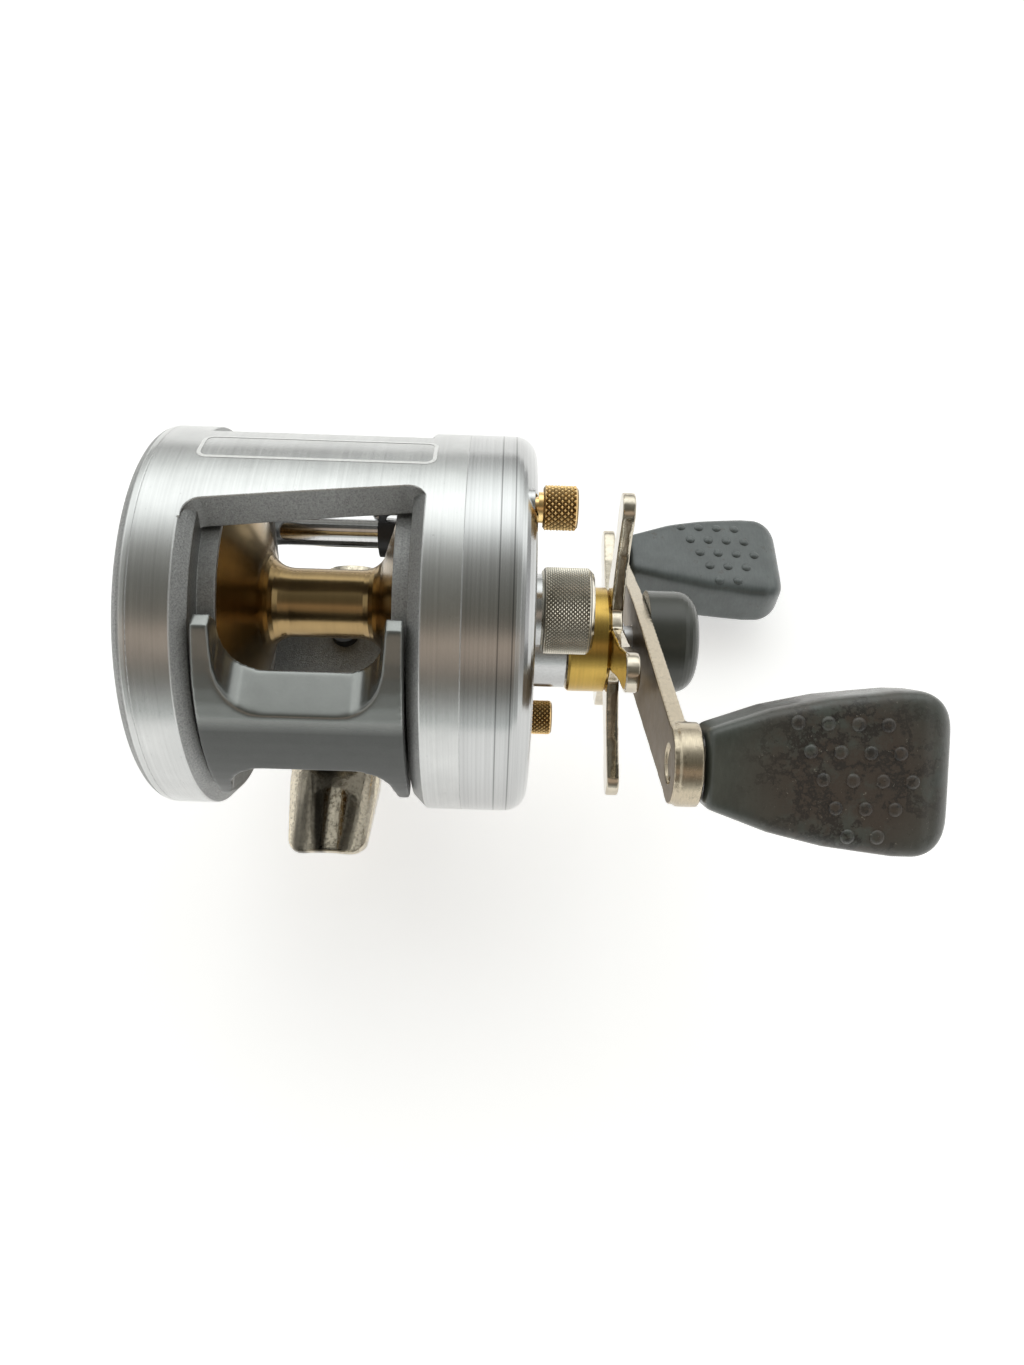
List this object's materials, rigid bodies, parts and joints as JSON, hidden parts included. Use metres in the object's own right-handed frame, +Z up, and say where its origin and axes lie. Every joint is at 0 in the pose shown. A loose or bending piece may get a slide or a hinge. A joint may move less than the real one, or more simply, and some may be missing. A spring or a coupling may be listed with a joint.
{
  "type": "baitcasting fishing reel",
  "caption": "Round baitcasting reel with one-piece aluminium frame, thumb-bar clutch, level wind, star drag and double paddle-knob handle.",
  "frame": {"origin": "centre of the rod-seat arc under the foot", "axes": "+X along the spool toward the handle, +Y toward the line guide, +Z up through the reel"},
  "size_m": [0.1094, 0.089, 0.077],
  "materials": {
    "frame_aluminium": "satin, bead blasted in the cuts",
    "turned_aluminium": "fine turned lines",
    "screw_steel": "bright",
    "foot_nickel": "pitted nickel plate",
    "foot_screw": "dark",
    "mechanism_steel": "machined",
    "takedown_brass": "knurled",
    "bearing_steel": "polished",
    "brake_bronze": "turned",
    "brake_plastic": "moulded",
    "guard_chrome": "polished",
    "spool_gold": "polished gold anodised",
    "pinion_brass": "cut",
    "spring_steel": "bright",
    "thumb_grey": "satin",
    "cam_plastic": "moulded",
    "gear_plastic": "moulded",
    "guide_black": "moulded",
    "guide_insert": "polished",
    "ratchet_steel": "hardened",
    "drag_fibre": "fibre",
    "hub_gold": "gold anodised",
    "star_nickel": "worn nickel plate",
    "arm_bronze": "champagne plate, stained",
    "cap_grey": "satin",
    "knob_rubber": "moulded, soiled",
    "cap_nickel": "knurled"
  },
  "bodies": {
    "reel_frame": {"frame": "frame_aluminium", "palm_cover": "frame_aluminium", "palm_screws": "screw_steel", "reel_foot": "foot_nickel", "foot_screws": "foot_screw", "gear_plate": "turned_aluminium", "mechanism_plate": "mechanism_steel", "plate_posts": "turned_aluminium", "mechanism_screws": "screw_steel", "plate_screw": "screw_steel", "left_bearing": "bearing_steel", "right_bearing": "bearing_steel", "pinion_bearing": "bearing_steel", "drive_bearing": "bearing_steel", "boss_bearing": "bearing_steel", "brake_drum": "brake_bronze", "worm_tube": "guard_chrome", "worm_bushings": "brake_bronze", "guide_rail": "guard_chrome", "yoke_posts": "screw_steel", "yoke_springs": "spring_steel", "idler_post": "screw_steel", "pawl_post": "screw_steel"},
    "spool_assembly": {"spool": "spool_gold", "spool_shaft": "mechanism_steel", "clutch_pin": "mechanism_steel", "brake_hub": "mechanism_steel", "brake_blocks": "brake_plastic"},
    "pinion_gear": {"pinion": "pinion_brass"},
    "clutch_yoke": {"yoke": "mechanism_steel"},
    "thumb_clutch": {"thumb_bar": "thumb_grey", "clutch_cam": "cam_plastic"},
    "handle": {"drive_shaft": "mechanism_steel", "level_wind_cog": "gear_plastic", "ratchet": "ratchet_steel", "main_gear": "pinion_brass", "drag_washers": "drag_fibre", "pressure_plate": "mechanism_steel", "drag_sleeve": "mechanism_steel", "handle_arm": "arm_bronze", "handle_nut": "screw_steel", "nut_cap": "cap_grey", "knob_axles": "screw_steel"},
    "star": {"star_hub": "hub_gold", "star_wheel": "star_nickel"},
    "level_wind_idler": {"idler_gear": "gear_plastic"},
    "level_wind_worm": {"worm_shaft": "mechanism_steel", "worm_gear": "gear_plastic"},
    "line_guide_carriage": {"line_guide": "guide_black", "guide_insert": "guide_insert", "guide_pawl": "mechanism_steel", "pawl_cap": "brake_bronze"},
    "cast_control": {"cast_cap": "cap_nickel", "cap_shim": "brake_bronze"},
    "near_knob": {"knob_near": "knob_rubber"},
    "far_knob": {"knob_far": "knob_rubber"},
    "top_thumb_screw": {"takedown_screw_top": "takedown_brass"},
    "bottom_thumb_screw": {"takedown_screw_bottom": "takedown_brass"},
    "anti_reverse_pawl": {"ratchet_pawl": "ratchet_steel"}
  },
  "joints": [
    {"name": "handle_turn", "type": "hinge", "parent": "reel_frame", "child": "handle", "pos_m": [0, 0.0038, 0.02975], "axis": [1, 0, 0], "continuous": true},
    {"name": "star_turn", "type": "hinge", "parent": "handle", "child": "star", "pos_m": [0, 0.0038, 0.02975], "axis": [1, 0, 0], "range_deg": [-180, 180]},
    {"name": "spool_spin", "type": "hinge", "parent": "reel_frame", "child": "spool_assembly", "pos_m": [0, 0.0005, 0.0454], "axis": [1, 0, 0], "continuous": true},
    {"name": "thumb_press", "type": "slide", "parent": "reel_frame", "child": "thumb_clutch", "axis": [0, 0, -1], "range_m": [0, 0.004]},
    {"name": "yoke_slide", "type": "slide", "parent": "reel_frame", "child": "clutch_yoke", "axis": [1, 0, 0], "range_m": [0, 0.0016], "deforming": ["yoke_springs"]},
    {"name": "pinion_spin", "type": "hinge", "parent": "clutch_yoke", "child": "pinion_gear", "pos_m": [0, 0.0005, 0.0454], "axis": [1, 0, 0], "continuous": true},
    {"name": "idler_spin", "type": "hinge", "parent": "reel_frame", "child": "level_wind_idler", "pos_m": [0, 0.01472, 0.02839], "axis": [1, 0, 0], "continuous": true},
    {"name": "worm_spin", "type": "hinge", "parent": "reel_frame", "child": "level_wind_worm", "pos_m": [0, 0.0215, 0.0343], "axis": [1, 0, 0], "continuous": true},
    {"name": "guide_travel", "type": "slide", "parent": "reel_frame", "child": "line_guide_carriage", "axis": [1, 0, 0], "range_m": [-0.0168, 0]},
    {"name": "cast_control_turn", "type": "hinge", "parent": "reel_frame", "child": "cast_control", "pos_m": [0, 0.0005, 0.0454], "axis": [1, 0, 0], "range_deg": [-360, 360]},
    {"name": "near_knob_spin", "type": "hinge", "parent": "handle", "child": "near_knob", "pos_m": [0, -0.02905, 0.05902], "axis": [1, 0, 0], "continuous": true},
    {"name": "far_knob_spin", "type": "hinge", "parent": "handle", "child": "far_knob", "pos_m": [0, 0.03665, 0.00048], "axis": [1, 0, 0], "continuous": true},
    {"name": "top_screw_turn", "type": "hinge", "parent": "reel_frame", "child": "top_thumb_screw", "pos_m": [0, 0.00492, 0.06633], "axis": [1, 0, 0], "range_deg": [0, 720]},
    {"name": "bottom_screw_turn", "type": "hinge", "parent": "reel_frame", "child": "bottom_thumb_screw", "pos_m": [0, -0.00492, 0.01567], "axis": [1, 0, 0], "range_deg": [0, 720]},
    {"name": "pawl_lift", "type": "hinge", "parent": "reel_frame", "child": "anti_reverse_pawl", "pos_m": [0, -0.0068, 0.02675], "axis": [1, 0, 0], "range_deg": [-18, 0]}
  ],
  "couplings": [
    {"joint": "spool_spin", "follows": "handle_turn", "ratio": -5.0833},
    {"joint": "pinion_spin", "follows": "handle_turn", "ratio": -5.0833},
    {"joint": "idler_spin", "follows": "handle_turn", "ratio": -1.2},
    {"joint": "worm_spin", "follows": "handle_turn", "ratio": 1.5},
    {"joint": "yoke_slide", "follows": "thumb_press", "ratio": 0.4}
  ]
}
